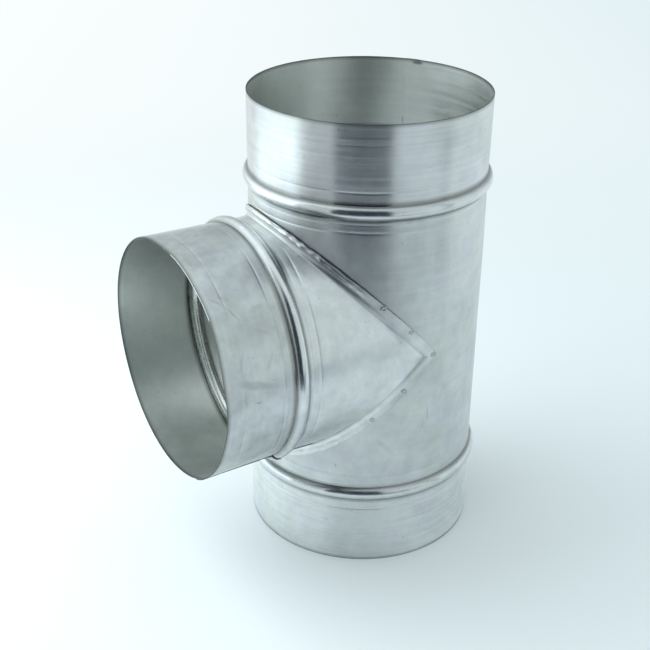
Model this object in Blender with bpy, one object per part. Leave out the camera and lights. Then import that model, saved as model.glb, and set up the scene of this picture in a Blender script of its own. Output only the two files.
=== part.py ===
"""Equal 90 degree tee for round ventilation duct, 125 mm nominal, in galvanised sheet steel.

It is two rolled sheets. The run barrel stands on its lower rim, with a lapped seam up its back and a
V-sided opening in its front. The branch barrel is rolled and lapped the same way, and its inner end
is cut to the mitre of two equal tubes and turned out into a narrow flange, which lies on the outside
of the run round that opening and is spot welded there. Every open end is a plain collar that stops at
a rolled bead, hollow on the inside.

Metres, +Z up along the run, with the branch towards -X. The origin is at the middle of the base.
"""

import math

import bpy

# Driving dimensions
SHEET = 0.0005  # wall of both barrels
DIAMETER = 0.1244  # outside of every collar, which pushes into 125 mm duct
COLLAR = 0.0400  # open end to the near edge of its bead
BEAD_WIDTH = 0.0068
BEAD_HEIGHT = 0.0027  # over the outside of the barrel
RUN_LAND = 0.0142  # bead of the run to the outside of the branch
BRANCH_LAND = 0.0078  # bead of the branch to the outside of the run
CROTCH_FLANGE = 0.0058  # flange past the mitre line, where the barrels meet squarely
TIP_FLANGE = 0.0035  # flange past the mitre line, at the tips of the V
CROTCH_FOLD = 0.0030  # set-back of the fold to each side of its corner, at the crotch
TIP_FOLD = 0.0015  # set-back of the step up on to the run, at the tips
OPENING_SETBACK = 0.0008  # edge of the run's opening to the mitre line
LAP_WIDTH = 0.0070  # overlap of a barrel's two edges
JOGGLE = 0.0020  # length of the step that lifts the outer edge over the inner one
CLEARANCE = 0.0003  # between two sheets that lie on each other

# Angles, in degrees
RUN_LAP_AZIMUTH = 31.5  # outer edge of the run's lap, counted from +X
BRANCH_LAP_ANGLE = 215.0  # outer edge of the branch's lap, counted from its top towards +Y
TIP_ROUNDING = 10.0  # stretch of the branch over which the flange turns the corner of the V

# Facets
COLUMN_STEP = 5.0  # degrees between two columns of a barrel
BEAD_SEGMENTS = 6
FOLD_SEGMENTS = 4

# Sizes that follow
RADIUS = DIAMETER / 2
LAP_LIFT = SHEET + CLEARANCE
BEADED_END = COLLAR + BEAD_WIDTH
AXIS_HEIGHT = BEADED_END + RUN_LAND + RADIUS
RUN_LENGTH = 2 * AXIS_HEIGHT
BRANCH_REACH = RADIUS + BRANCH_LAND + BEADED_END
RUN_AXIS_X = (BRANCH_REACH - RADIUS - BEAD_HEIGHT) / 2

GALVANISED = {"Base Color": (0.70, 0.73, 0.74, 1.0), "Metallic": 1.0, "Roughness": 0.32}


def clear_scene():
    for thing in list(bpy.data.objects):
        bpy.data.objects.remove(thing, do_unlink=True)


def sheet_metal(name):
    """A bright zinc finish."""
    material = bpy.data.materials.new(name)
    material.use_nodes = True
    shader = material.node_tree.nodes["Principled BSDF"]
    for socket, value in GALVANISED.items():
        shader.inputs[socket].default_value = value
    return material


def bead_stations(near_edge, lift):
    """(distance from the rim, height) over one half-round bead, for a sheet that lies lift higher."""
    half_width = BEAD_WIDTH / 2
    half_angle = 2 * math.atan2(BEAD_HEIGHT, half_width)
    radius = half_width / math.sin(half_angle)
    centre = BEAD_HEIGHT - radius
    radius += lift
    half_angle = math.acos((lift - centre) / radius)
    stations = []
    for i in range(BEAD_SEGMENTS + 1):
        turn = half_angle * (2 * i / BEAD_SEGMENTS - 1)
        along = near_edge + half_width + radius * math.sin(turn)
        stations.append((along, centre + radius * math.cos(turn)))
    return stations


def lapped_columns(outer_edge):
    """(angle in degrees, lift) for each column of a rolled barrel, from its inner edge to its outer one."""
    step_top = outer_edge - math.degrees(LAP_WIDTH / RADIUS)
    step_foot = step_top - math.degrees(JOGGLE / RADIUS)
    inner_edge = step_top - 360.0
    marks = [inner_edge, outer_edge - 360.0, step_foot, step_top, outer_edge]
    angles = list(marks)
    for count in range(math.ceil(inner_edge / COLUMN_STEP), math.ceil(outer_edge / COLUMN_STEP)):
        angle = count * COLUMN_STEP
        if min(abs(angle - mark) for mark in marks) > COLUMN_STEP / 5:
            angles.append(angle)
    columns = []
    for angle in sorted(angles):
        climbed = (angle - step_foot) / (step_top - step_foot)
        columns.append((angle, LAP_LIFT * max(0.0, min(1.0, climbed))))
    return columns


def run_column(angle, lift):
    """Outside points up the run at one azimuth, from the lower rim to the upper one."""
    lower = bead_stations(COLLAR, lift)
    upper = [(RUN_LENGTH - along, height) for along, height in reversed(lower)]
    stations = [(0.0, lift)] + lower + upper + [(RUN_LENGTH, lift)]
    turn = math.radians(angle)
    return [
        ((RADIUS + height) * math.cos(turn), (RADIUS + height) * math.sin(turn), along)
        for along, height in stations
    ]


def on_run(azimuth, height, radius, side):
    """A point on a tube round the run, with the azimuth counted from -X towards one side."""
    return (-radius * math.cos(azimuth), side * radius * math.sin(azimuth), height)


def branch_column(angle, lift):
    """Outside points along the branch at one angle from its top, from the mouth to the flange's edge."""
    turn = math.radians(angle)
    side = math.copysign(1.0, math.sin(turn))
    upward = math.cos(turn)
    sideways = abs(math.sin(turn))
    squareness = abs(upward)  # 1 at the crotch, 0 at the tips of the V
    radius = RADIUS + lift
    flange_radius = RADIUS + CLEARANCE + SHEET + lift

    fold = TIP_FOLD + (CROTCH_FOLD - TIP_FOLD) * squareness - lift
    pull_back = TIP_FOLD * sideways**2
    width = TIP_FLANGE + (CROTCH_FLANGE - TIP_FLANGE) * squareness + pull_back - lift
    azimuth = math.asin(min(1.0, sideways)) - pull_back / flange_radius
    corner_height = radius * upward

    # The flange leaves the mitre line squarely, and turns through the corner at the tips
    rise = max(-1.0, min(1.0, upward / math.sin(math.radians(TIP_ROUNDING))))
    length = math.hypot(sideways, rise)
    across, up = sideways / length / flange_radius, rise / length

    corner = on_run(azimuth, corner_height, flange_radius, side)
    landing = on_run(azimuth + across * fold, corner_height + up * fold, flange_radius, side)
    edge = on_run(azimuth + across * width, corner_height + up * width, flange_radius, side)
    fold_start = (corner[0] - fold, radius * math.sin(turn), radius * upward)

    stations = [(0.0, lift)] + bead_stations(COLLAR, lift)
    points = [
        (along - BRANCH_REACH, (RADIUS + height) * math.sin(turn), (RADIUS + height) * upward)
        for along, height in stations
    ]
    for i in range(FOLD_SEGMENTS + 1):
        t = i / FOLD_SEGMENTS
        weights = ((1 - t) ** 2, 2 * t * (1 - t), t**2)
        curve = zip(fold_start, corner, landing)
        points.append(tuple(sum(w * c for w, c in zip(weights, axis)) for axis in curve))
    points.append(edge)
    return points


def rolled_sheet(name, columns, location, turned_over):
    """One piece of sheet: a grid through the columns, thickened inwards."""
    rows = len(columns[0])
    faces = []
    for i in range(len(columns) - 1):
        for j in range(rows - 1):
            quad = (i * rows + j, (i + 1) * rows + j, (i + 1) * rows + j + 1, i * rows + j + 1)
            faces.append(quad[::-1] if turned_over else quad)
    mesh = bpy.data.meshes.new(name)
    mesh.from_pydata([point for column in columns for point in column], [], faces)
    mesh.shade_smooth()
    mesh.set_sharp_from_angle(angle=math.radians(30.0))
    mesh.materials.append(sheet_metal(name))
    barrel = bpy.data.objects.new(name, mesh)
    barrel.location = location
    bpy.context.scene.collection.objects.link(barrel)
    wall = barrel.modifiers.new("wall", "SOLIDIFY")
    wall.thickness = SHEET
    wall.offset = -1.0
    wall.use_even_offset = True
    return barrel


def opening_cutter():
    """A wedge with its edge across the run, whose two slopes are the mitre planes."""
    clear = RADIUS + BEAD_HEIGHT + RUN_LAND / 2
    edge = OPENING_SETBACK * math.sqrt(2.0)
    outline = [(edge, 0.0), (edge - clear, clear), (edge - clear, -clear)]
    points = [(x, y, z) for y in (-clear, clear) for x, z in outline]
    faces = [(0, 2, 1), (3, 4, 5), (0, 1, 4, 3), (1, 2, 5, 4), (2, 0, 3, 5)]
    mesh = bpy.data.meshes.new("opening_cutter")
    mesh.from_pydata(points, [], [face[::-1] for face in faces])
    cutter = bpy.data.objects.new("opening_cutter", mesh)
    cutter.location = (RUN_AXIS_X, 0.0, AXIS_HEIGHT)
    cutter.display_type = "WIRE"
    cutter.hide_render = True
    bpy.context.scene.collection.objects.link(cutter)
    return cutter


def run_barrel(cutter):
    """The run's sheet is rolled clockwise as seen from above, so its columns go round backwards."""
    columns = [run_column(-angle, lift) for angle, lift in lapped_columns(-RUN_LAP_AZIMUTH)]
    barrel = rolled_sheet("run_barrel", columns, (RUN_AXIS_X, 0.0, 0.0), turned_over=True)
    opening = barrel.modifiers.new("opening", "BOOLEAN")
    opening.operation = "DIFFERENCE"
    opening.solver = "EXACT"
    opening.object = cutter
    return barrel


def branch_barrel():
    columns = [branch_column(angle, lift) for angle, lift in lapped_columns(BRANCH_LAP_ANGLE)]
    return rolled_sheet("branch_barrel", columns, (RUN_AXIS_X, 0.0, AXIS_HEIGHT), turned_over=True)


def main():
    clear_scene()
    tee = bpy.data.objects.new("tee", None)
    bpy.context.scene.collection.objects.link(tee)
    for piece in (run_barrel(opening_cutter()), branch_barrel()):
        piece.parent = tee


main()
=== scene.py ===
"""Looks of an equal 90 degree tee for round ventilation duct, in galvanised sheet steel.

Both barrels are made again as fine sheets, with what the coarse solids leave out: the rolled feet of the
beads, the lines that the beading rolls press beside them, the flange beaten down round the V, the slight
unevenness that a rolled sheet shows in its reflections, and a mouth that has sprung a little out of round.
The spot welds that hold the flange and the laps follow the seams.

Metres, in the part's frame: +Z up the run, the branch towards -X.
"""

import math

import bpy
from mathutils import Matrix, Vector, noise


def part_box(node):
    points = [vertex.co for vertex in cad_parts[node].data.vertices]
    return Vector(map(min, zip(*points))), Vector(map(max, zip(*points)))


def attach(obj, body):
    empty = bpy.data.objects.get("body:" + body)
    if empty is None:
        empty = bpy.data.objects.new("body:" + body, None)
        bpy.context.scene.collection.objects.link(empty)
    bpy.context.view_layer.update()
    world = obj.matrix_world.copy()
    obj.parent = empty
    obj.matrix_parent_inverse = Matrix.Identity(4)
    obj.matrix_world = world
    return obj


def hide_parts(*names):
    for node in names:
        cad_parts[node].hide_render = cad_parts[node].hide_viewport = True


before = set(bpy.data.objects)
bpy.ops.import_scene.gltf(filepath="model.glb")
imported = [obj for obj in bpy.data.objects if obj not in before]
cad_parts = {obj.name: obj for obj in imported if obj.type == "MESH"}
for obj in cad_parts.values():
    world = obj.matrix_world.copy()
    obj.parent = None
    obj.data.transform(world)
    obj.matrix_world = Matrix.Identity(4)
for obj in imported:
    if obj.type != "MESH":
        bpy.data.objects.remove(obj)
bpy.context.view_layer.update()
run_low, run_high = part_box("run_barrel")
branch_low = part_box("branch_barrel")[0]

# Sheet and beads, as the solids have them
SHEET = 0.0005
COLLAR = 0.0400
BEAD_WIDTH = 0.0068
BEAD_HEIGHT = 0.0027
LAP_WIDTH = 0.0070
RUN_LAP_AZIMUTH = 31.5
BRANCH_LAP_ANGLE = 215.0

# Flange round the V, as the solids have it
CROTCH_FLANGE = 0.0058
TIP_FLANGE = 0.0035
TIP_PULL_BACK = 0.0015
TIP_ROUNDING = 10.0
FLANGE_GAP = 0.0003
OPENING_SETBACK = 0.0008

# Bends, tighter than the solids can have them
LAP_GAP = 0.00002
JOGGLE = 0.0020  # length of the step that lifts the outer edge over the inner one
THINNEST = 0.02  # share of the sheet's thickness where its inner edge runs out
INNER_REACH = 0.0003  # how far the inner edge runs on past the foot of the joggle
INNER_SINK = 0.000015  # how far inside the sheet it lies there
CROTCH_BEND = 0.0020
TIP_BEND = 0.0024
BEAD_FOOT = 0.0004

# Sizes read from the frame
RADIUS = run_high.y - BEAD_HEIGHT
RUN_LENGTH = run_high.z - run_low.z
RUN_AXIS_X = run_high.x - RADIUS - BEAD_HEIGHT
AXIS_HEIGHT = RUN_LENGTH / 2
BRANCH_REACH = RUN_AXIS_X - branch_low.x
LAP_LIFT = SHEET + LAP_GAP

# Bead section, with rolled feet
BEAD_MIDDLE = COLLAR + BEAD_WIDTH / 2
BEAD_ARC = (BEAD_WIDTH**2 / 4 + BEAD_HEIGHT**2) / (2 * BEAD_HEIGHT)
BEAD_CENTRE = BEAD_HEIGHT - BEAD_ARC
FOOT_TURN = math.acos((BEAD_FOOT - BEAD_CENTRE) / (BEAD_ARC + BEAD_FOOT))
BEAD_REACH = (BEAD_ARC + BEAD_FOOT) * math.sin(FOOT_TURN)
FOOT_STEPS = 3
ARC_STEPS = 12

# Lines that the rolls leave, as (distance from the open end, depth)
ROLL_LINES = ((0.0103, 0.00008), (0.0334, 0.00021), (0.0495, 0.00008), (0.0539, 0.00017))
ROLL_LINE_WIDTH = 0.0005
ROLL_BAND_DEPTH = 0.00010
STREAK_REACH = 0.0140  # how far past the bead's edges the rolls have streaked the sheet

# Unevenness of the sheet
DENT_SIZE = 0.045
DENT_DEPTH = 0.00022

# Mouth of the branch, sprung wide and leaning, with knocks in its edge as
# (degrees from the top, how far outwards, half of its width in degrees)
MOUTH_WIDENING = 0.076
MOUTH_FLATTENING = 0.011
MOUTH_LEAN = 0.017
SPRING_CURVE = 1.3
MOUTH_KNOCKS = ((2.0, -0.0018, 15.0), (-48.0, 0.0019, 14.0), (-92.0, 0.0014, 11.0), (118.0, -0.0013, 28.0))
KNOCK_REACH = 0.020
# Part of the mouth's edge is painted light there, as a painted highlight
HIGHLIT_MOUTH_EDGE = (-50.0, -8.0)  # part of the edge that is painted light, in degrees from the top

# Flange as it is beaten down between its spot welds. Lumps are counted per weld spacing
WELDS_PER_ARM = 6
WELD_LINE = 0.76  # where the welds lie, as a share of the flange's width
LOWER_WELDS_FROM = 104  # degrees from the branch's top
WELD_DIAMETER = 0.0034
WELD_CREST = 0.00014
LAP_WELD_SPACING = 0.0220
PUCKER = 0.00035
PUCKER_LUMPS = 0.9
BEATEN_FROM = 0.50  # cosine of the angle from the crotch where the hammer marks begin
BEATEN_FULL = 0.85
HAMMER_DEPTH = 0.00055
HAMMER_LUMPS = 7.0
CROWN = 0.00080
LOWER_CROWN = 0.35 * CROWN
CROWN_LUMPS = 5.0
CROWN_LINE = 0.42  # middle of the crown, as a share of the flange's width
CROWN_WIDTH = 0.20
EDGE_WANDER = 0.00035
EDGE_LUMPS = 1.7

# Scuffs and darker patches, one of them painted shade, as (from the open end, degrees round the sheet, turn,
# half of length, half of width, darkness)
BRANCH_SCUFFS = (
    (0.0175, -80.0, -20.0, 0.0160, 0.0028, 0.30),
    (0.0130, -48.0, -59.0, 0.0070, 0.0008, 0.32),
    (0.0235, -57.4, -34.0, 0.0100, 0.0008, 0.26),
    (0.0063, -40.0, -45.0, 0.0060, 0.0010, 0.26),
    (0.0180, -58.0, 20.0, 0.0140, 0.0110, 0.16),
    (0.0110, -40.0, -20.0, 0.0050, 0.0022, 0.18),
    (0.0250, -48.0, 10.0, 0.0060, 0.0020, 0.16),
    (0.0120, -66.0, 70.0, 0.0080, 0.0014, 0.18),
    (0.0260, -72.0, 60.0, 0.0070, 0.0012, 0.16),
    (0.0190, 3.0, 10.0, 0.0022, 0.0008, 0.60),
    (0.0300, 9.8, 0.0, 0.0017, 0.0008, 0.60),
    (0.0175, -88.0, -5.0, 0.0022, 0.0005, 0.55),
)
RUN_SCUFFS = (
    (0.0623, -225.7, 0.0, 0.0016, 0.0005, 0.60),
    (0.0905, -271.0, 4.0, 0.0065, 0.0005, 0.35),
    (0.0850, -268.5, 4.0, 0.0040, 0.0004, 0.25),
    (0.2482, -224.4, 0.0, 0.0007, 0.0007, 0.60),
    # The next two are large soft darker patches on the body, the first below the branch
    (0.0700, -216.0, 0.0, 0.0200, 0.0240, 0.17),
    (0.0620, -262.0, 0.0, 0.0090, 0.0050, 0.12),
    (0.0740, -250.0, 40.0, 0.0100, 0.0020, 0.14),
)
RUN_INSIDE_MARKS_AND_SHADE = (
    (0.2497, -392.6, 0.0, 0.0016, 0.0040, 0.90),
    # A large soft patch of painted shade on the far wall inside, near the top rim
    (0.2380, -380.0, 0.0, 0.0300, 0.0220, 0.16),
)
SCUFF_WOBBLE = 0.0016

# Width of the dark lines in creases and along edges, which are dirt and painted shade
DIRT_AND_SHADE_WIDTH = 0.0010

# Fineness of the meshes
COLUMN_STEP = 1.5
FINE_COLUMN_STEP = 0.75
TIP_COLUMN_STEP = 0.6
TIP_MARGIN = 1.2  # reach of the finer columns, as a share of the tip's rounding
JOGGLE_STEPS = 8
ROW_STEP = 0.0025
FOLD_STEPS = 6
FLANGE_STEPS = 10
BODY_STEPS = 12
SMOOTH_UP_TO = 35.0  # degrees between faces

# Camera
CAMERA_AZIMUTH = -30.851
CAMERA_ELEVATION = 27.032
CAMERA_ROLL = 0.660
CAMERA_DISTANCE = 0.65441
CAMERA_AIM_HEIGHT = 0.11227
CAMERA_SIDE_SHIFT = -0.02109
CAMERA_LENS = 65.557


# Sections and columns


def spaced(start, end, step):
    """Even places from start to end, both included."""
    count = max(1, round((end - start) / step))
    return [start + (end - start) * i / count for i in range(count + 1)]


def smooth(share):
    share = max(0.0, min(1.0, share))
    return share * share * (3 - 2 * share)


def roll_relief(from_end):
    """Height of the collar's surface over a plain tube, this far from its open end."""
    inside = min(from_end - ROLL_LINES[1][0], ROLL_LINES[3][0] - from_end)
    height = -ROLL_BAND_DEPTH * smooth(inside / ROLL_LINE_WIDTH)
    for place, depth in ROLL_LINES:
        height -= depth * math.exp(-(((from_end - place) / ROLL_LINE_WIDTH) ** 2))
    return height


def bead_rows():
    """(distance from the open end, height, slope) over one bead, from foot to foot."""
    turns = [FOOT_TURN * i / FOOT_STEPS for i in range(FOOT_STEPS)]
    rows = []
    for turn in turns:
        rows.append((-BEAD_REACH + BEAD_FOOT * math.sin(turn), BEAD_FOOT * (1 - math.cos(turn)), turn))
    for i in range(ARC_STEPS + 1):
        turn = FOOT_TURN * (1 - 2 * i / ARC_STEPS)
        rows.append((-BEAD_ARC * math.sin(turn), BEAD_CENTRE + BEAD_ARC * math.cos(turn), turn))
    for offset, height, turn in reversed(rows[:FOOT_STEPS]):
        rows.append((-offset, height, -turn))
    return [(BEAD_MIDDLE + offset, height, slope) for offset, height, slope in rows]


def flat_rows(start, end):
    """Rows on the plain tube, closer together at a rim and across the roll lines."""
    places = set(spaced(start, end, ROW_STEP))
    if start == 0.0:
        places.update((DIRT_AND_SHADE_WIDTH, 2 * DIRT_AND_SHADE_WIDTH))
    for line, _ in ROLL_LINES:
        if start < line < end:
            near = 2 * ROLL_LINE_WIDTH
            places = {place for place in places if abs(place - line) > 1.2 * near or place in (start, end)}
            places.update(line + near * share for share in (-1, -0.6, -0.3, 0, 0.3, 0.6, 1))
    return [(place, 0.0, 0.0) for place in sorted(places)]


def end_rows(last):
    """Rows from an open end over its bead to last, each with the relief that the rolls left."""
    rows = flat_rows(0.0, BEAD_MIDDLE - BEAD_REACH)[:-1] + bead_rows()
    rows += flat_rows(BEAD_MIDDLE + BEAD_REACH, last)[1:]
    return [(place, height + roll_relief(place), slope) for place, height, slope in rows]


def dirt_and_shade_at(from_end):
    """How dark the dirt and the painted shade lie: dirt with painted shade along the open rim, painted shade
    in both feet of the bead.
    """
    feet = (0.0, BEAD_MIDDLE - BEAD_REACH, BEAD_MIDDLE + BEAD_REACH)
    return max(math.exp(-(((from_end - foot) / DIRT_AND_SHADE_WIDTH) ** 2)) for foot in feet)


def rolled_at(from_end):
    """How strongly the beading rolls have streaked the sheet."""
    return 1 - smooth((abs(from_end - BEAD_MIDDLE) - BEAD_WIDTH / 2) / STREAK_REACH)


def joggle(outer_edge):
    """The angles at the foot and at the top of the step in a sheet's lap."""
    top = outer_edge - math.degrees(LAP_WIDTH / RADIUS)
    return top - math.degrees(JOGGLE / RADIUS), top


def lift_at(angle, outer_edge):
    """How far the sheet is joggled out to lie on its other edge.

    That edge is thinned to run out under the step, so it is counted as lying lower there.
    """
    foot, top = joggle(outer_edge)
    if angle < outer_edge - 360.0:
        thinned = LAP_LIFT * (1 - smooth((angle + 360.0 - foot) / (top - foot)))
        sunk = INNER_SINK * smooth((outer_edge - 360.0 - angle) / (outer_edge - top))
        return -sunk - min(thinned, SHEET * (1 - THINNEST))
    return LAP_LIFT * smooth((angle - foot) / (top - foot))


def sheet_angles(outer_edge, step=COLUMN_STEP, corners=()):
    """The angles of a barrel's columns, from its inner edge to its outer one."""
    foot, top = joggle(outer_edge)
    around_tips = [tip + TIP_ROUNDING * side for tip in corners for side in (-TIP_MARGIN, TIP_MARGIN)]
    reach = math.degrees(INNER_REACH / RADIUS)
    fine = (top - foot) / JOGGLE_STEPS
    angles = [foot - 360.0 - reach] + spaced(foot - 360.0, top - 360.0, fine)[:-1]
    angles += spaced(top - 360.0, outer_edge - 360.0, step)[:-1]
    start = outer_edge - 360.0
    for index, tip_end in enumerate([*around_tips, foot]):
        angles += spaced(start, tip_end, TIP_COLUMN_STEP if index % 2 else step)[:-1]
        start = tip_end
    # The inner edge hides this column, so the sheet starts to bend out of sight
    angles.append(foot - 0.9 * reach)
    return angles + spaced(foot, top, fine)[:-1] + spaced(top, outer_edge, step)


def dent(place, seed):
    """Unevenness of the sheet at a place on it."""
    return DENT_DEPTH * noise.noise(Vector(place) / DENT_SIZE + Vector((seed, 0, 0)))


# Run barrel


def run_point(angle, lift, place, height, slope):
    """A point on the run's outside. Its sheet is rolled clockwise, so its angles count backwards from +X."""
    turn = -math.radians(angle)
    radius = RADIUS + height + lift * math.cos(slope)
    along = place - lift * math.sin(slope)
    direction = (RADIUS * math.cos(turn), RADIUS * math.sin(turn), along)
    radius += dent(direction, 3.0)
    return (RUN_AXIS_X + radius * math.cos(turn), radius * math.sin(turn), along)


def run_rows():
    lower = end_rows(AXIS_HEIGHT)
    upper = [(RUN_LENGTH - place, height, -slope) for place, height, slope in reversed(lower[:-1])]
    return lower + upper


def run_column(angle):
    lift = lift_at(angle, -RUN_LAP_AZIMUTH)
    return [run_point(angle, lift, *row) for row in run_rows()]


def run_marks():
    """(dirt and painted shade, rolled, relief) for each row of the run."""
    ends = [min(place, RUN_LENGTH - place) for place, _, _ in run_rows()]
    return [(dirt_and_shade_at(end), rolled_at(end), roll_relief(end)) for end in ends]


# Branch barrel


def on_run(azimuth, height, radius, side):
    """A point on a tube round the run, with the azimuth counted from -X towards one side."""
    return Vector((-radius * math.cos(azimuth), side * radius * math.sin(azimuth), height))


def flange_frame(angle):
    """The corner of the fold, and what leads from it over the flange, at one angle from the branch's top."""
    turn = math.radians(angle)
    side = math.copysign(1.0, math.sin(turn))
    upward = math.cos(turn)
    sideways = abs(math.sin(turn))
    squareness = abs(upward)
    radius = RADIUS + FLANGE_GAP + SHEET
    bend = TIP_BEND + (CROTCH_BEND - TIP_BEND) * squareness
    pull_back = TIP_PULL_BACK * sideways**2
    width = TIP_FLANGE + (CROTCH_FLANGE - TIP_FLANGE) * squareness + pull_back
    azimuth = math.asin(min(1.0, sideways)) - pull_back / radius
    rise = max(-1.0, min(1.0, upward / math.sin(math.radians(TIP_ROUNDING))))
    length = math.hypot(sideways, rise)
    step = (sideways / length / radius, rise / length)
    corner = (azimuth, RADIUS * upward)
    return side, radius, bend, width, corner, step


def flange_point(angle, distance, raised=0.0):
    """A point on the outside of the flange, this far from the corner of its fold."""
    side, radius, _, _, corner, step = flange_frame(angle)
    return on_run(corner[0] + step[0] * distance, corner[1] + step[1] * distance, radius + raised, side)


def seam_lengths():
    """(angle, length of the flange from the lower crotch round to it)."""
    lengths = [(-180.0, 0.0)]
    for angle in range(-179, 181):
        ends = [flange_point(a, TIP_FLANGE) for a in (angle - 1.0, float(angle))]
        lengths.append((float(angle), lengths[-1][1] + (ends[1] - ends[0]).length))
    return lengths


SEAM = seam_lengths()
WELD_SPACING = SEAM[-1][1] / (4 * WELDS_PER_ARM)


def along_seam(angle):
    """Length of the flange from the lower crotch to this angle, counted in weld spacings."""
    wrapped = (angle + 180.0) % 360.0
    whole = min(int(wrapped), len(SEAM) - 2)
    start, end = SEAM[whole][1], SEAM[whole + 1][1]
    return (start + (end - start) * (wrapped - whole)) / WELD_SPACING


def pucker(angle, share):
    """How far the beaten flange stands off, from its fold (share 0) to its free edge (share 1)."""
    count = along_seam(angle)
    between = 0.5 - 0.5 * math.cos(2 * math.pi * count)
    waves = PUCKER * between * (0.6 + 0.8 * noise.noise(Vector((count * PUCKER_LUMPS, 5.0, 0.0))))
    marks = HAMMER_DEPTH * (0.45 + noise.noise(Vector((count * HAMMER_LUMPS, 9.0, share * 2))))
    upward = math.cos(math.radians(angle))
    beaten = smooth((abs(upward) - BEATEN_FROM) / (BEATEN_FULL - BEATEN_FROM))
    crown = LOWER_CROWN if upward < 0.0 else CROWN
    crown *= math.exp(-(((share - CROWN_LINE) / CROWN_WIDTH) ** 2))
    crown *= 0.8 + noise.noise(Vector((count * CROWN_LUMPS, 2.0, 0.0)))
    return share**1.3 * max(0.0, waves * (1 - beaten) + marks * beaten) + crown * beaten


def mouth_knock(angle):
    """How far the mouth's edge has been knocked outwards at this angle."""
    height = 0.0
    for centre, outwards, half_width in MOUTH_KNOCKS:
        away = (angle - centre + 180.0) % 360.0 - 180.0
        height += outwards * math.exp(-((away / half_width) ** 2))
    return height


def branch_point(angle, lift, place, height, slope):
    turn = math.radians(angle)
    radius = RADIUS + height + lift * math.cos(slope)
    along = place - lift * math.sin(slope)
    radius += dent((along, RADIUS * math.sin(turn), RADIUS * math.cos(turn)), 11.0)
    sprung = max(0.0, 1 - along / COLLAR) ** SPRING_CURVE
    radius += mouth_knock(angle) * math.exp(-((along / KNOCK_REACH) ** 2)) * min(1.0, sprung * 4)
    up = radius * math.cos(turn) * (1 - MOUTH_FLATTENING * sprung)
    across = radius * math.sin(turn) * (1 + MOUTH_WIDENING * sprung)
    return (RUN_AXIS_X - BRANCH_REACH + along + MOUTH_LEAN * sprung * up, across, AXIS_HEIGHT + up)


def branch_rows(body_start, body_end):
    """Rows over the bead to the fold. Those after the bead draw together where the body is short."""
    foot = BEAD_MIDDLE + BEAD_REACH
    rows = [row for row in end_rows(foot + ROW_STEP) if row[0] <= foot + 1e-6]
    marks = flat_rows(foot, ROLL_LINES[-1][0] + 2 * ROLL_LINE_WIDTH)[1:]
    squeeze = (body_start - foot) / (marks[-1][0] - foot)
    for place, _, _ in marks:
        rows.append((foot + (place - foot) * squeeze, roll_relief(place), 0.0))
    for i in range(1, BODY_STEPS + 1):
        rows.append((body_start + (body_end - body_start) * i / BODY_STEPS, 0.0, 0.0))
    return rows


def branch_column(angle):
    """A column of the branch. Its lap is notched at the fold, so the flange is a single sheet."""
    lift = lift_at(angle, BRANCH_LAP_ANGLE)
    _, _, bend, width, _, _ = flange_frame(angle)
    turn = math.radians(angle)
    corner = flange_point(angle, 0.0)
    body_end = BRANCH_REACH + corner.x - bend
    lines_end = ROLL_LINES[-1][0] + 2 * ROLL_LINE_WIDTH
    rows = branch_rows(min(lines_end, body_end - bend), body_end)
    points = [branch_point(angle, lift, *row) for row in rows]

    shift = Vector((RUN_AXIS_X, 0.0, AXIS_HEIGHT))
    start = Vector((corner.x - bend, (RADIUS + lift) * math.sin(turn), (RADIUS + lift) * math.cos(turn)))
    landing = flange_point(angle, bend)
    for i in range(1, FOLD_STEPS + 1):
        t = i / FOLD_STEPS
        points.append(shift + start * (1 - t) ** 2 + corner * 2 * t * (1 - t) + landing * t**2)
    edge = width + EDGE_WANDER * noise.noise(Vector((along_seam(angle) * EDGE_LUMPS, 1.0, 0.0)))
    for i in range(1, FLANGE_STEPS + 1):
        share = i / FLANGE_STEPS
        points.append(shift + flange_point(angle, bend + (edge - bend) * share, pucker(angle, share)))
    return points


def branch_marks():
    """(dirt and painted shade, rolled, relief) for each row of the branch: its fold and its free edge are
    dark too, with painted shade in the fold's crease and along the free edge.
    """
    lines_end = ROLL_LINES[-1][0] + 2 * ROLL_LINE_WIDTH
    rows = branch_rows(lines_end, lines_end + ROW_STEP * BODY_STEPS)
    marks = [(dirt_and_shade_at(place), rolled_at(place), roll_relief(place)) for place, _, _ in rows]
    for i in range(1, FOLD_STEPS + 1):
        # Painted shade in the fold's crease, fading away from it
        marks.append((0.55 * (1 - i / FOLD_STEPS) ** 1.5, 0.0, 0.0))
    # A little darker over the flange, and painted shade along its free edge
    return marks + [(0.12, 0.0, 0.0)] * (FLANGE_STEPS - 2) + [(0.22, 0.0, 0.0), (0.32, 0.0, 0.0)]


# Sheets


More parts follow.
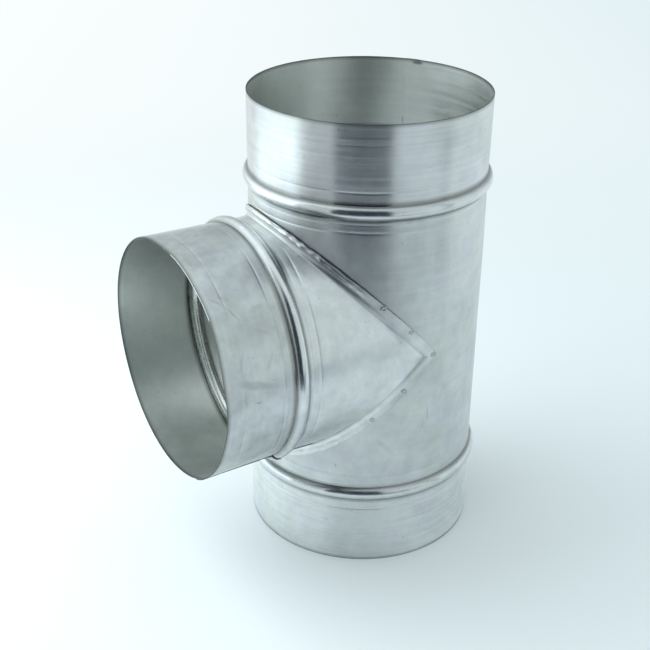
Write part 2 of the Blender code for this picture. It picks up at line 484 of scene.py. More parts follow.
def sheet_mesh(name, columns, angles, outer_edge, marks, materials, notched=()):
    """A grid through the columns, with UVs in metres: u along the barrel, v round it.

    Notched is how many columns have no faces past how many rows.
    """
    rows = len(columns[0])
    faces = []
    corners = []
    for i in range(len(columns) - 1):
        for j in range(rows - 1):
            if notched and i < notched[0] and j >= notched[1]:
                continue
            quad = [(i, j + 1), (i + 1, j + 1), (i + 1, j), (i, j)]
            faces.append([column * rows + row for column, row in quad])
            corners += quad
    used = sorted({number for face in faces for number in face})
    renumbered = {number: index for index, number in enumerate(used)}
    points = [point for column in columns for point in column]
    mesh = bpy.data.meshes.new(name)
    mesh.from_pydata(
        [tuple(points[number]) for number in used],
        [],
        [[renumbered[number] for number in face] for face in faces],
    )
    for material in materials:
        mesh.materials.append(material)

    lengths = [0.0]
    middle = columns[len(columns) // 3]
    for before, after in zip(middle, middle[1:]):
        lengths.append(lengths[-1] + (Vector(after) - Vector(before)).length)
    layer = mesh.uv_layers.new(name="sheet")
    for place, (column, row) in zip(layer.data, corners):
        place.uv = (lengths[row], RADIUS * math.radians(angles[column]))
    for index, label in enumerate(("dirt_and_crease_shade", "rolled")):
        attribute = mesh.attributes.new(label, "FLOAT", "POINT")
        attribute.data.foreach_set("value", [marks[number % rows][index] for number in used])
    shares = []
    for number in used:
        thinned = min(0.0, lift_at(angles[number // rows], outer_edge) + INNER_SINK) + marks[number % rows][2]
        shares.append(max(THINNEST, 1 + thinned / SHEET))
    mesh.attributes.new("wall", "FLOAT", "POINT").data.foreach_set("value", shares)
    return mesh


def plain_mesh(thing, name):
    """The thing as its modifiers leave it, as a mesh of its own. The thing goes."""
    evaluated = thing.evaluated_get(bpy.context.evaluated_depsgraph_get())
    mesh = bpy.data.meshes.new_from_object(evaluated)
    mesh.name = name
    old = thing.data
    bpy.data.objects.remove(thing)
    if old.users == 0:
        bpy.data.meshes.remove(old)
    made = bpy.data.objects.new(name, mesh)
    bpy.context.scene.collection.objects.link(made)
    return made


def add_wall(thing):
    """Give the sheet its thickness, less at its thinned inner edge and where the rolls pressed it."""
    group = thing.vertex_groups.new(name="wall")
    group.add(range(len(thing.data.vertices)), 1.0, "REPLACE")
    for index, item in enumerate(thing.data.attributes["wall"].data):
        if item.value < 1.0:
            group.add([index], item.value, "REPLACE")
    wall = thing.modifiers.new("wall", "SOLIDIFY")
    wall.vertex_group = group.name
    wall.thickness = SHEET
    wall.offset = -1.0
    wall.use_quality_normals = True
    # Rims take the last material, the cut edge painted near black as shade
    wall.material_offset_rim = len(thing.data.materials) - 1


def mark_inside(mesh, axis_point, axis):
    """Mark the faces that look at the barrel's axis."""
    inside = []
    for face in mesh.polygons:
        outwards = face.center - axis_point
        outwards -= axis * outwards.dot(axis)
        inside.append(1.0 if face.normal.dot(outwards) < 0 else 0.0)
    attribute = mesh.attributes.new("inside", "FLOAT", "FACE")
    attribute.data.foreach_set("value", inside)


def placed(mesh):
    thing = bpy.data.objects.new(mesh.name, mesh)
    bpy.context.scene.collection.objects.link(thing)
    return thing


def opening_cutter(materials):
    """A wedge with its edge across the run, whose two slopes are the mitre planes."""
    clear = 1.2 * RADIUS
    edge = OPENING_SETBACK * math.sqrt(2.0)
    outline = [(edge, 0.0), (edge - clear, clear), (edge - clear, -clear)]
    points = [(RUN_AXIS_X + x, y, AXIS_HEIGHT + z) for y in (-clear, clear) for x, z in outline]
    faces = [(0, 1, 2), (3, 5, 4), (0, 3, 4, 1), (1, 4, 5, 2), (2, 5, 3, 0)]
    mesh = bpy.data.meshes.new("opening_cutter")
    mesh.from_pydata(points, [], faces)
    for material in materials:
        mesh.materials.append(material)
    for face in mesh.polygons:
        face.material_index = len(materials) - 1
    return placed(mesh)


def run_sheet(brushed, plain, cut_edge_painted_shade):
    """The run's sheet: brushed on its two collars, plain between its beads."""
    materials = (brushed, plain, cut_edge_painted_shade)
    angles = sheet_angles(-RUN_LAP_AZIMUTH)
    columns = [run_column(angle) for angle in angles]
    mesh = sheet_mesh("run_sheet", columns, angles, -RUN_LAP_AZIMUTH, run_marks(), materials)
    for face in mesh.polygons:
        from_end = min(face.center.z, RUN_LENGTH - face.center.z)
        face.material_index = 1 if from_end > BEAD_MIDDLE + BEAD_REACH else 0
    sheet = placed(mesh)
    add_wall(sheet)
    cutter = opening_cutter(materials)
    opening = sheet.modifiers.new("opening", "BOOLEAN")
    opening.operation = "DIFFERENCE"
    opening.solver = "EXACT"
    opening.object = cutter
    made = plain_mesh(sheet, "run_sheet")
    bpy.data.objects.remove(cutter)
    mark_inside(made.data, Vector((RUN_AXIS_X, 0.0, 0.0)), Vector((0.0, 0.0, 1.0)))
    return made


def branch_sheet(rolled, painted_highlight_edge, cut_edge_painted_shade):
    """The branch's sheet. Part of its mouth's edge is painted light, as a painted highlight."""
    angles = sheet_angles(BRANCH_LAP_ANGLE, FINE_COLUMN_STEP, corners=(-90.0, 90.0))
    columns = [branch_column(angle) for angle in angles]
    under = sum(angle < BRANCH_LAP_ANGLE - 360.0 - 1e-6 for angle in angles)
    notched = (under, len(columns[0]) - 1 - FOLD_STEPS - FLANGE_STEPS)
    materials = (rolled, painted_highlight_edge, cut_edge_painted_shade)
    mesh = sheet_mesh("branch_sheet", columns, angles, BRANCH_LAP_ANGLE, branch_marks(), materials, notched)
    sheet = placed(mesh)
    add_wall(sheet)
    made = plain_mesh(sheet, "branch_sheet")
    mark_inside(made.data, Vector((0.0, 0.0, AXIS_HEIGHT)), Vector((1.0, 0.0, 0.0)))
    for face in made.data.polygons:
        angle = math.degrees(math.atan2(face.center.y, face.center.z - AXIS_HEIGHT))
        # Faces of the mouth's edge that get the painted highlight
        at_mouth = face.material_index == 2 and face.center.x < branch_low.x + COLLAR / 4
        if at_mouth and HIGHLIT_MOUTH_EDGE[0] < angle < HIGHLIT_MOUTH_EDGE[1]:
            face.material_index = 1
    return made


# Node trees


class Nodes:
    """A node tree, with short ways to add to it."""

    def __init__(self, tree):
        self.nodes = tree.nodes
        self.links = tree.links

    def add(self, kind, inputs=None, **settings):
        node = self.nodes.new(kind)
        for name, value in settings.items():
            setattr(node, name, value)
        for name, value in (inputs or {}).items():
            self.set(node.inputs[name], value)
        return node

    def set(self, socket, value):
        if isinstance(value, bpy.types.NodeSocket):
            self.links.new(value, socket)
        else:
            socket.default_value = value

    def math(self, operation, first, second=0.0):
        return self.add("ShaderNodeMath", {0: first, 1: second}, operation=operation).outputs[0]

    def vector_math(self, operation, *vectors):
        node = self.add("ShaderNodeVectorMath", dict(enumerate(vectors)), operation=operation)
        is_number = operation in ("DISTANCE", "DOT_PRODUCT", "LENGTH")
        return node.outputs["Value" if is_number else "Vector"]

    def blend(self, share, first, second):
        """A mix of two closures."""
        return self.add("ShaderNodeMixShader", {0: share, 1: first, 2: second}).outputs[0]


# Spot welds


def weld_tree(material):
    """Geometry nodes that set a pressed ring on the sheet at even steps along a line."""
    tree = bpy.data.node_groups.new("spot welds", "GeometryNodeTree")
    tree.interface.new_socket("Geometry", in_out="INPUT", socket_type="NodeSocketGeometry")
    for label, kind, value in (
        ("Spacing", "NodeSocketFloat", LAP_WELD_SPACING),
        ("Diameter", "NodeSocketFloat", WELD_DIAMETER),
        ("Crest", "NodeSocketFloat", WELD_CREST),
        ("Seed", "NodeSocketInt", 1),
    ):
        socket = tree.interface.new_socket(label, in_out="INPUT", socket_type=kind)
        socket.default_value = value
    tree.interface.new_socket("Geometry", in_out="OUTPUT", socket_type="NodeSocketGeometry")

    nodes = Nodes(tree)
    given = nodes.add("NodeGroupInput").outputs
    line = nodes.add("GeometryNodeMeshToCurve", {"Mesh": given["Geometry"]}).outputs["Curve"]
    steps = {"Curve": line, "Length": given["Spacing"]}
    places = nodes.add("GeometryNodeResampleCurve", steps, mode="LENGTH").outputs["Curve"]

    # A disc, raised to a lumpy ring halfway out
    radius = nodes.math("MULTIPLY", given["Diameter"], 0.5)
    sizes = {"Vertices": 18, "Side Segments": 8, "Radius Top": 0.0, "Radius Bottom": radius, "Depth": radius}
    disc = nodes.add("GeometryNodeMeshCone", sizes, fill_type="NGON").outputs["Mesh"]
    position = nodes.add("GeometryNodeInputPosition").outputs[0]
    flat = nodes.add("ShaderNodeSeparateXYZ", {0: position}).outputs
    squares = [nodes.math("POWER", flat[axis], 2.0) for axis in "XY"]
    share = nodes.math("DIVIDE", nodes.math("SQRT", nodes.math("ADD", *squares)), radius)
    from_crest = nodes.math("DIVIDE", nodes.math("SUBTRACT", share, 0.5), 0.26)
    ring = nodes.math("EXPONENT", nodes.math("MULTIPLY", nodes.math("POWER", from_crest, 2.0), -1.0))
    lumps = nodes.add("ShaderNodeTexNoise", {"Vector": position, "Scale": 700.0}).outputs[0]
    uneven = nodes.math("MULTIPLY", ring, nodes.math("ADD", nodes.math("MULTIPLY", lumps, 1.6), 0.2))
    height = nodes.math("MULTIPLY", nodes.math("SUBTRACT", uneven, 0.12), given["Crest"])
    raised = nodes.add("ShaderNodeCombineXYZ", {"X": flat["X"], "Y": flat["Y"], "Z": height}).outputs[0]
    pressed = nodes.add("GeometryNodeSetPosition", {"Geometry": disc, "Position": raised}).outputs[0]

    # Each one faces outwards, with its own turn and size
    outward = nodes.add("GeometryNodeInputNamedAttribute", {"Name": "outward"}, data_type="FLOAT_VECTOR")
    vector = {"Vector": outward.outputs["Attribute"]}
    upright = nodes.add("FunctionNodeAlignRotationToVector", vector, axis="Z").outputs["Rotation"]
    spin = nodes.add("FunctionNodeRandomValue", {3: 2 * math.pi, "Seed": given["Seed"]}, data_type="FLOAT")
    about = nodes.add("FunctionNodeAxisAngleToRotation", {"Angle": spin.outputs[1]}).outputs["Rotation"]
    turns = {"Rotation": upright, "Rotate By": about}
    turned = nodes.add("FunctionNodeRotateRotation", turns, rotation_space="LOCAL").outputs["Rotation"]
    size = nodes.add("FunctionNodeRandomValue", {2: 0.8, 3: 1.15, "Seed": given["Seed"]}, data_type="FLOAT")
    copies = {"Points": places, "Instance": pressed, "Rotation": turned, "Scale": size.outputs[1]}
    welds = nodes.add("GeometryNodeInstanceOnPoints", copies).outputs["Instances"]

    real = nodes.add("GeometryNodeRealizeInstances", {"Geometry": welds}).outputs["Geometry"]
    rounded = nodes.add("GeometryNodeSetShadeSmooth", {"Geometry": real}).outputs["Geometry"]
    finish = nodes.add("GeometryNodeSetMaterial", {"Geometry": rounded, "Material": material})
    nodes.add("NodeGroupOutput", {"Geometry": finish.outputs["Geometry"]})
    return tree


def welds_along(name, tree, lines, spacing, seed, material):
    """Spot welds on lines, each a list of (point, outward direction)."""
    points = []
    edges = []
    outward = []
    for line in lines:
        edges += [(len(points) + i, len(points) + i + 1) for i in range(len(line) - 1)]
        points += [tuple(point) for point, _ in line]
        outward += [tuple(direction) for _, direction in line]
    mesh = bpy.data.meshes.new(name)
    mesh.from_pydata(points, edges, [])
    attribute = mesh.attributes.new("outward", "FLOAT_VECTOR", "POINT")
    for item, direction in zip(attribute.data, outward):
        item.vector = direction
    mesh.materials.append(material)
    thing = placed(mesh)
    modifier = thing.modifiers.new("welds", "NODES")
    modifier.node_group = tree
    values = {"Spacing": spacing, "Seed": seed}
    for socket in tree.interface.items_tree:
        if socket.in_out == "INPUT" and socket.name in values:
            modifier[socket.identifier] = values[socket.name]
    return plain_mesh(thing, name)


def flange_line(angles):
    """Along the flange, nearer to its free edge than to its fold."""
    line = []
    for angle in angles:
        width = flange_frame(float(angle))[3]
        point = flange_point(float(angle), WELD_LINE * width)
        direction = Vector((point.x, point.y, 0.0)).normalized()
        line.append((point + Vector((RUN_AXIS_X, 0.0, AXIS_HEIGHT)), direction))
    return line


def flange_lines():
    """From tip to tip over the upper crotch, and from a little after the tips under the lower one."""
    return [flange_line(range(-90, 91)), flange_line(range(LOWER_WELDS_FROM, 361 - LOWER_WELDS_FROM))]


def lap_middle(outer_edge):
    return outer_edge - math.degrees(LAP_WIDTH / RADIUS) / 2


def run_lap_lines():
    """Up the middle of the run's lap, clear of its beads."""
    angle = lap_middle(-RUN_LAP_AZIMUTH)
    turn = -math.radians(angle)
    direction = Vector((math.cos(turn), math.sin(turn), 0.0))
    clear = BEAD_MIDDLE + 2 * BEAD_REACH
    spans = (
        (ROW_STEP * 2, COLLAR - ROW_STEP * 2),
        (clear, RUN_LENGTH - clear),
        (RUN_LENGTH - COLLAR + ROW_STEP * 2, RUN_LENGTH - ROW_STEP * 2),
    )
    lines = []
    for start, end in spans:
        places = spaced(start, end, ROW_STEP)
        lines.append([(run_point(angle, LAP_LIFT, z, 0.0, 0.0), direction) for z in places])
    return lines


def branch_lap_lines():
    """Along the middle of the branch's lap, clear of its bead and its fold."""
    angle = lap_middle(BRANCH_LAP_ANGLE)
    turn = math.radians(angle)
    direction = Vector((0.0, math.sin(turn), math.cos(turn)))
    places = spaced(ROW_STEP * 2, COLLAR - ROW_STEP * 2, ROW_STEP)
    return [[(branch_point(angle, LAP_LIFT, x, 0.0, 0.0), direction) for x in places]]


# Materials


SHEET_ROUGHNESS = 0.36

# Noise in the zinc, in waves to the metre: along the sheet and round it, or in all directions
FINE_STREAKS = (2400.0, 30.0, 1.0)
BROAD_STREAKS = (500.0, 8.0, 1.0)
CASTS = (30.0, 30.0, 30.0)
CLOUDS = (42.0, 42.0, 42.0)
BLOTCHES = (170.0, 170.0, 170.0)
SPECKS = (430.0, 430.0, 430.0)
WOBBLES = 190.0

# Colours of the zinc, greenish and bluish, and of what lies on it; some of them paint light and shade
DULL_ZINC = ((0.49, 0.52, 0.50, 1.0), (0.485, 0.505, 0.52, 1.0))
BRIGHT_ZINC = ((0.83, 0.86, 0.84, 1.0), (0.82, 0.845, 0.865, 1.0))
# Inside, the zinc is painted lighter than outside, as painted light that bounces inside the tube
INSIDE_ZINC_PAINTED_LIGHT = (0.75, 0.79, 0.73, 1.0)
# Dark colour for scuffs, and for a patch of painted shade inside the run
SCUFF_AND_SHADE_ZINC = (0.22, 0.24, 0.26, 1.0)
# Dark colour for dirt, and for painted shade in creases and along edges
DIRT_AND_SHADE_COLOUR = (0.10, 0.10, 0.09, 1.0)

# Dark and light specks of other metal. The cut edges are painted near black, as painted shade along the rims
# and the laps; part of the mouth's edge is painted light, as a painted highlight.
CUT_STEEL_PAINTED_SHADE = ((0.03, 0.03, 0.03, 1.0), (0.15, 0.15, 0.14, 1.0))
# Light metal that paints a highlight on part of the mouth's edge
HIGHLIGHT_STEEL = ((0.60, 0.62, 0.60, 1.0), (0.92, 0.94, 0.92, 1.0))
WELD_ZINC = ((0.34, 0.34, 0.35, 1.0), (0.60, 0.62, 0.61, 1.0))


class Shader(Nodes):
    """A material, with short ways to add to its nodes."""

    def __init__(self, name):
        self.material = bpy.data.materials.new(name)
        self.material.use_nodes = True
        super().__init__(self.material.node_tree)
        self.principled = self.nodes["Principled BSDF"]

    def paint(self, values):
        """Set inputs of the principled surface."""
        for name, value in values.items():
            self.set(self.principled.inputs[name], value)

    def cover(self, closure):
        """Put a closure on the surface."""
        self.links.new(closure, self.nodes["Material Output"].inputs["Surface"])

    def sum_of(self, *terms):
        total = terms[0]
        for term in terms[1:]:
            total = self.math("ADD", total, term)
        return total

    def spread(self, value, width):
        """A noise value between 0 and 1, as a change of this width about nothing."""
        return self.math("MULTIPLY", self.math("SUBTRACT", value, 0.5), width)

    def ramp(self, value, low, high, to_low=0.0, to_high=1.0):
        values = {"Value": value, "From Min": low, "From Max": high, "To Min": to_low, "To Max": to_high}
        return self.add("ShaderNodeMapRange", values, interpolation_type="SMOOTHSTEP").outputs[0]

    def mix(self, share, first, second):
        colours = {"Factor": share, 6: first, 7: second}
        return self.add("ShaderNodeMix", colours, data_type="RGBA").outputs[2]

    def stretched_noise(self, vector, scale, detail=3.0, roughness=0.6):
        """Noise with its own scale along each axis of the vector."""
        scaled = self.add("ShaderNodeMapping", {"Vector": vector, "Scale": scale}).outputs[0]
        values = {"Vector": scaled, "Scale": 1.0, "Detail": detail, "Roughness": roughness}
        return self.add("ShaderNodeTexNoise", values).outputs[0]


def zinc_sheet(name, streaks, anisotropy, mottle, painted_tones, scuffs, inside_marks_and_shade=()):
    """Bright galvanised sheet: streaks round the barrel, cloudy zinc, scuffs, and dirt with painted shade in
    its creases and along its edges.

    Painted tones, which paint light and shade, are added on the first collar and past its bead.
    """
    shader = Shader(name)
    sheet = shader.add("ShaderNodeUVMap", uv_map="sheet").outputs[0]
    place = shader.add("ShaderNodeTexCoord").outputs["Object"]
    dirt_and_crease_shade = shader.add("ShaderNodeAttribute", attribute_name="dirt_and_crease_shade").outputs["Fac"]
    rolled = shader.add("ShaderNodeAttribute", attribute_name="rolled").outputs["Fac"]
    inside = shader.add("ShaderNodeAttribute", attribute_name="inside").outputs["Fac"]
    outside = shader.math("SUBTRACT", 1.0, inside)
    from_end = shader.add("ShaderNodeSeparateXYZ", {"Vector": sheet}).outputs["X"]

    fine = shader.stretched_noise(sheet, FINE_STREAKS, roughness=0.7)
    broad = shader.stretched_noise(sheet, BROAD_STREAKS)
    clouds = shader.stretched_noise(place, CLOUDS, detail=4.0)
    blotches = shader.stretched_noise(place, BLOTCHES)
    on_bead = shader.ramp(rolled, 0.95, 1.0)
    streaked = shader.math("MAXIMUM", rolled, streaks)
    strength = shader.math("MULTIPLY", streaked, shader.ramp(on_bead, 0.0, 1.0, 1.0, 0.35))

    tone = shader.sum_of(
        0.5,
        shader.spread(clouds, 0.9),
        shader.spread(blotches, mottle),
        # Painted light and shade: the first collar and the part past its bead made lighter or darker
        shader.ramp(from_end, COLLAR, COLLAR + BEAD_WIDTH, *painted_tones),
        shader.math("MULTIPLY", shader.spread(broad, 0.8), strength),
        shader.math("MULTIPLY", shader.spread(fine, 0.5), strength),
    )
    cast = shader.ramp(shader.stretched_noise(place, CASTS, detail=2.0), 0.35, 0.65)
    metal = shader.mix(tone, shader.mix(cast, *DULL_ZINC), shader.mix(cast, *BRIGHT_ZINC))

    specks = shader.ramp(shader.stretched_noise(place, SPECKS, detail=2.0), 0.68, 0.76)
    scuffs_and_shade = shader.math("MULTIPLY", specks, 0.3)
    jitter = shader.add("ShaderNodeTexNoise", {"Vector": place, "Scale": WOBBLES, "Detail": 2.0})
    centred = shader.vector_math("SUBTRACT", jitter.outputs["Color"], (0.5, 0.5, 0.5))
    wobbled = shader.vector_math("MULTIPLY_ADD", centred, (SCUFF_WOBBLE,) * 3, sheet)
    # Scuffs outside, and inside scuffs with a patch of painted shade
    sides = [(scuff, outside) for scuff in scuffs] + [(scuff, inside) for scuff in inside_marks_and_shade]
    for (along, angle, turn, half_length, half_width, darkness), side in sides:
        ellipse = {
            "Vector": wobbled,
            "Location": (along, RADIUS * math.radians(angle), 0.0),
            "Rotation": (0.0, 0.0, math.radians(turn)),
            "Scale": (half_length, half_width, 1.0),
        }
        mapping = shader.add("ShaderNodeMapping", ellipse, vector_type="TEXTURE")
        mark = shader.ramp(shader.vector_math("LENGTH", mapping.outputs[0]), 0.3, 1.0, darkness, 0.0)
        scuffs_and_shade = shader.math("MAXIMUM", scuffs_and_shade, shader.math("MULTIPLY", mark, side))
    # Inside faces painted halfway to a lighter zinc, as painted light bouncing inside the tube
    metal = shader.mix(shader.math("MULTIPLY", inside, 0.5), metal, INSIDE_ZINC_PAINTED_LIGHT)
    metal = shader.mix(scuffs_and_shade, metal, SCUFF_AND_SHADE_ZINC)
    # Dirt, and painted shade in the creases and along the edges
    dirt_and_shade_share = shader.math("MULTIPLY", dirt_and_crease_shade, shader.ramp(inside, 0.0, 1.0, 0.75, 0.9))
    metal = shader.mix(dirt_and_shade_share, metal, DIRT_AND_SHADE_COLOUR)

    rough = shader.sum_of(
        SHEET_ROUGHNESS,
        shader.math("MULTIPLY", shader.spread(broad, 0.30), strength),
        shader.spread(blotches, 0.10),
        shader.math("MULTIPLY", scuffs_and_shade, 0.1),
        shader.math("MULTIPLY", inside, 0.05),
        shader.ramp(on_bead, 0.0, 1.0, 0.0, -0.14),
    )
    relief = shader.sum_of(
        0.0,
        shader.math("MULTIPLY", fine, streaks),
        shader.math("MULTIPLY", broad, streaks),
        shader.math("MULTIPLY", blotches, shader.ramp(on_bead, 0.0, 1.0, 1.2, 0.3)),
    )
    tangent = shader.add("ShaderNodeTangent", direction_type="UV_MAP", uv_map="sheet")
    bump = shader.add("ShaderNodeBump", {"Strength": 0.5, "Distance": 0.00005, "Height": relief})
    shader.paint(
        {
            "Base Color": metal,
            "Metallic": 1.0,
            "Roughness": rough,
            "Anisotropic": anisotropy,
            "Tangent": tangent.outputs[0],
            "Normal": bump.outputs[0],
        }
    )
    return shader.material


def speckled_metal(name, grain, detail, colours, roughness):
    """Metal with specks of two colours and two roughnesses, this many waves to the metre."""
    shader = Shader(name)
    place = shader.add("ShaderNodeTexCoord").outputs["Object"]
    specks = shader.stretched_noise(place, (grain, grain, grain), detail)
    rough = shader.ramp(specks, 0.3, 0.7, *roughness)
    shader.paint({"Base Color": shader.mix(specks, *colours), "Metallic": 1.0, "Roughness": rough})
    return shader.material


# Studio


# Light that reaches the tee, and what the camera sees behind it
FLOOR_HALF = 6.0
FLOOR_COLOUR = (0.83, 0.865, 0.875, 1.0)
# The backdrop's colours paint light: lighter at the left and darker at the right, as the light falls off away
# from the window side
BACKDROP_LEFT = (0.955, 1.0, 1.0, 1.0)
BACKDROP_RIGHT = (0.76, 0.87, 0.90, 1.0)
BACKDROP_FADE = (-0.6, 0.8)  # from left to right
SHADOW_SHIFT = 0.07
SHADOW_REACH = (0.17, 0.9)  # where the floor begins to fade into the backdrop, and where it ends
SKY_COLOUR = (0.87, 0.97, 1.0, 1.0)
SKY_EVEN = 0.55
SKY_LEFT = 1.60
SKY_RIGHT = 0.40
SKY_SIDE_FOCUS = 1.6
SKY_OVERHEAD = 0.50
SKY_OVERHEAD_FOCUS = 4.0
WINDOW_COLOUR = (0.93, 0.98, 1.0)
WINDOW_AZIMUTH = 150.0
WINDOW_DISTANCE = 0.50
WINDOW_HEIGHT = 0.42
WINDOW_SIZE = 0.5
WINDOW_POWER = 2.0

# Cards that only the metal sees. Their places are (azimuth, distance, left, right, height)
DARK_CARDS = (
    # Name, place, opacity, width over which the right edge fades
    ("dark_card", (229.0, 0.34, 0.13, 0.195, 0.60), 1.0, 0.01),
    ("grey_card", (193.0, 0.36, 0.10, 0.09, 0.60), 0.5, 0.01),
    ("low_card", (254.0, 0.30, 0.02, 0.34, 0.08), 0.72, 0.22),
    ("post", (308.0, 0.36, 0.03, 0.03, 0.60), 0.35, 0.01),
)
DARK_CARD_COLOUR = (0.02, 0.03, 0.05, 1.0)
BRIGHT_CARDS = (
    # Name, place, strength
    ("left_card", (149.0, 0.40, 0.22, 0.22, 0.20), 1.7),
    ("right_card", (345.0, 0.40, 0.24, 0.25, 0.20), 1.0),
)


def heading(azimuth):
    """The level direction towards an azimuth."""
    turn = math.radians(azimuth)
    return Vector((math.cos(turn), math.sin(turn), 0.0))


def around(azimuth, distance, height):
    """A place in the studio, as seen from the run's axis."""
    return Vector((RUN_AXIS_X, 0.0, height)) + heading(azimuth) * distance


def floor():
    """A pale floor that keeps the tee's shadow, and fades into the backdrop far off. The backdrop is painted
    lighter at the left and darker at the right, as painted light falling off from the left, and the metal
    mirrors it too.
    """
    half = FLOOR_HALF
    corners = [(-half, -half, 0), (half, -half, 0), (half, half, 0), (-half, half, 0)]
    mesh = bpy.data.meshes.new("floor")
    mesh.from_pydata(corners, [], [(0, 1, 2, 3)])
    shader = Shader("pale floor")
    shader.paint({"Base Color": FLOOR_COLOUR, "Roughness": 0.9, "Specular IOR Level": 0.0})
    place = shader.add("ShaderNodeTexCoord").outputs["Object"]
    away = shader.vector_math("DISTANCE", place, around(CAMERA_AZIMUTH, SHADOW_SHIFT, 0.0))
    aside = shader.vector_math("DOT_PRODUCT", place, heading(CAMERA_AZIMUTH))
    colour = shader.mix(shader.ramp(aside, *BACKDROP_FADE), BACKDROP_LEFT, BACKDROP_RIGHT)
    path = shader.add("ShaderNodeLightPath").outputs
    # Glossy rays see the painted backdrop too, so the metal mirrors it
    seen = shader.math("MAXIMUM", path["Is Camera Ray"], path["Is Glossy Ray"])
    share = shader.math("MULTIPLY", shader.ramp(away, *SHADOW_REACH), seen)
    backdrop = shader.add("ShaderNodeEmission", {"Color": colour})
    shader.cover(shader.blend(share, shader.principled.outputs[0], backdrop.outputs[0]))
    mesh.materials.append(shader.material)
    placed(mesh)


def card(shader, azimuth, distance, left, right, height):
    """An upright card on the floor, which only the metal sees. Its UVs run from 0 to 1."""
    middle = around(azimuth, distance, 0.0)
    rightwards = heading(azimuth + 90.0)
    ends = (middle - rightwards * left, middle + rightwards * right)
    up = Vector((0.0, 0.0, height))
    mesh = bpy.data.meshes.new(shader.material.name)
    mesh.from_pydata([tuple(end) for end in (*ends, ends[1] + up, ends[0] + up)], [], [(0, 1, 2, 3)])
    layer = mesh.uv_layers.new(name="card")
    for corner, uv in zip(layer.data, ((0, 0), (1, 0), (1, 1), (0, 1))):
        corner.uv = uv
    mesh.materials.append(shader.material)
    made = placed(mesh)
    made.visible_camera = False
    made.visible_shadow = False
    made.visible_diffuse = False


def dark_card(name, place, depth, fade):
    """Part of the dark room in front, which the metal mirrors."""
    shader = Shader(name)
    shader.paint({"Base Color": DARK_CARD_COLOUR, "Roughness": 1.0})
    uv = shader.add("ShaderNodeUVMap", uv_map="card").outputs[0]
    across = shader.add("ShaderNodeSeparateXYZ", {"Vector": uv}).outputs["X"]
    width = place[2] + place[3]
    values = {"Value": across, "From Min": 1.0, "From Max": 1.0 - fade / width, "To Max": depth}
    opacity = shader.add("ShaderNodeMapRange", values).outputs[0]
    clear = shader.add("ShaderNodeBsdfTransparent").outputs[0]
    shader.cover(shader.blend(opacity, clear, shader.principled.outputs[0]))
    card(shader, *place)


def bright_card(name, place, strength):
    """A lit wall at one side, which the metal mirrors as a pale band."""
    shader = Shader(name)
    shader.cover(shader.add("ShaderNodeEmission", {"Color": SKY_COLOUR, "Strength": strength}).outputs[0])
    card(shader, *place)


def window_lamp():
    """A wide lamp behind the branch, which throws the soft shadow to the right. The metal mirrors the sky."""
    lamp = bpy.data.lights.new("window", "AREA")
    lamp.shape = "SQUARE"
    lamp.size = WINDOW_SIZE
    lamp.energy = WINDOW_POWER
    lamp.color = WINDOW_COLOUR
    thing = bpy.data.objects.new("window", lamp)
    bpy.context.scene.collection.objects.link(thing)
    thing.location = around(WINDOW_AZIMUTH, WINDOW_DISTANCE, WINDOW_HEIGHT)
    thing.visible_glossy = False


def world_light():
    """An even sky, stronger towards some sides. The camera sees the backdrop in its place."""
    world = bpy.data.worlds.new("studio")
    bpy.context.scene.world = world
    world.use_nodes = True
    nodes = Nodes(world.node_tree)
    direction = nodes.add("ShaderNodeTexCoord").outputs["Generated"]
    sides = (
        (SKY_LEFT, heading(CAMERA_AZIMUTH + 180.0), SKY_SIDE_FOCUS),
        (SKY_RIGHT, heading(CAMERA_AZIMUTH), SKY_SIDE_FOCUS),
        (SKY_OVERHEAD, Vector((0.0, 0.0, 1.0)), SKY_OVERHEAD_FOCUS),
    )
    total = SKY_EVEN
    for strength, side, focus in sides:
        towards = nodes.math("MAXIMUM", nodes.vector_math("DOT_PRODUCT", direction, side), 0.0)
        share = nodes.math("MULTIPLY", nodes.math("POWER", towards, focus), strength)
        total = nodes.math("ADD", share, total)
    sky = nodes.nodes["Background"]
    nodes.set(sky.inputs["Color"], SKY_COLOUR)
    nodes.set(sky.inputs["Strength"], total)
    backdrop = nodes.add("ShaderNodeBackground", {"Color": BACKDROP_LEFT})
    seen = nodes.add("ShaderNodeLightPath").outputs["Is Camera Ray"]
    shown = nodes.blend(seen, sky.outputs[0], backdrop.outputs[0])
    nodes.set(nodes.nodes["World Output"].inputs["Surface"], shown)


def camera():
    azimuth, elevation, roll = (math.radians(a) for a in (CAMERA_AZIMUTH, CAMERA_ELEVATION, CAMERA_ROLL))
    upright = Matrix.Rotation(azimuth, 4, "Z") @ Matrix.Rotation(math.pi / 2 - elevation, 4, "X")
    right = upright.col[0].to_3d()
    back = upright.col[2].to_3d()
    eye = Vector((RUN_AXIS_X, 0.0, CAMERA_AIM_HEIGHT)) + right * CAMERA_SIDE_SHIFT + back * CAMERA_DISTANCE
    lens = bpy.data.cameras.new("camera")
    lens.lens = CAMERA_LENS
    lens.sensor_width = 36.0
    thing = bpy.data.objects.new("camera", lens)
    bpy.context.scene.collection.objects.link(thing)
    thing.matrix_world = Matrix.Translation(eye) @ upright @ Matrix.Rotation(roll, 4, "Z")
    bpy.context.scene.camera = thing


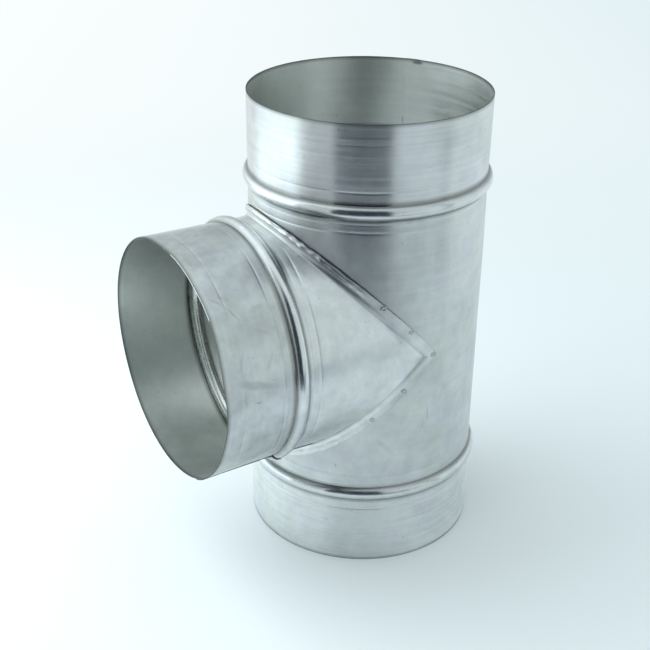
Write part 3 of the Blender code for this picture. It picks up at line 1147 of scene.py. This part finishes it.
def main():
    # The tones paint light and shade: the run's lower collar lighter and its body darker, the branch's collar
    # darker and its body and flange lighter
    brushed = zinc_sheet("zinc_brushed", 1.0, 0.85, 0.35, (0.22, 0.0), RUN_SCUFFS, RUN_INSIDE_MARKS_AND_SHADE)
    plain = zinc_sheet("zinc_plain", 0.35, 0.35, 0.40, (0.0, -0.15), RUN_SCUFFS)
    rolled = zinc_sheet("zinc_rolled", 0.35, 0.35, 0.80, (-0.12, 0.28), BRANCH_SCUFFS)
    # Cut edges painted near black: painted shade along the rims and the laps
    cut_edge_painted_shade = speckled_metal("cut_edge_painted_shade", 900.0, 3.0, CUT_STEEL_PAINTED_SHADE, (0.3, 0.45))
    painted_highlight_edge = speckled_metal("painted_highlight_edge", 900.0, 3.0, HIGHLIGHT_STEEL, (0.3, 0.45))
    weld = speckled_metal("weld_zinc", 700.0, 2.0, WELD_ZINC, (0.42, 0.32))

    camera()
    run = run_sheet(brushed, plain, cut_edge_painted_shade)
    branch = branch_sheet(rolled, painted_highlight_edge, cut_edge_painted_shade)
    tree = weld_tree(weld)
    flange_welds = welds_along("flange_welds", tree, flange_lines(), WELD_SPACING, 4, weld)
    run_lap_welds = welds_along("run_lap_welds", tree, run_lap_lines(), LAP_WELD_SPACING, 7, weld)
    branch_lap_welds = welds_along("branch_lap_welds", tree, branch_lap_lines(), LAP_WELD_SPACING, 9, weld)
    bpy.data.node_groups.remove(tree)

    for piece, slot in (
        (run, "run_sheet"),
        (branch, "branch_sheet"),
        (flange_welds, "branch_sheet"),
        (run_lap_welds, "run_sheet"),
        (branch_lap_welds, "branch_sheet"),
    ):
        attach(piece, "root")
    for piece in (run, branch):
        piece.data.shade_smooth()
        piece.data.set_sharp_from_angle(angle=math.radians(SMOOTH_UP_TO))
    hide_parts("run_barrel")
    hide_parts("branch_barrel")

    floor()
    for dark in DARK_CARDS:
        dark_card(*dark)
    for bright in BRIGHT_CARDS:
        bright_card(*bright)
    window_lamp()
    world_light()

    bpy.context.scene.view_settings.view_transform = "Standard"


main()
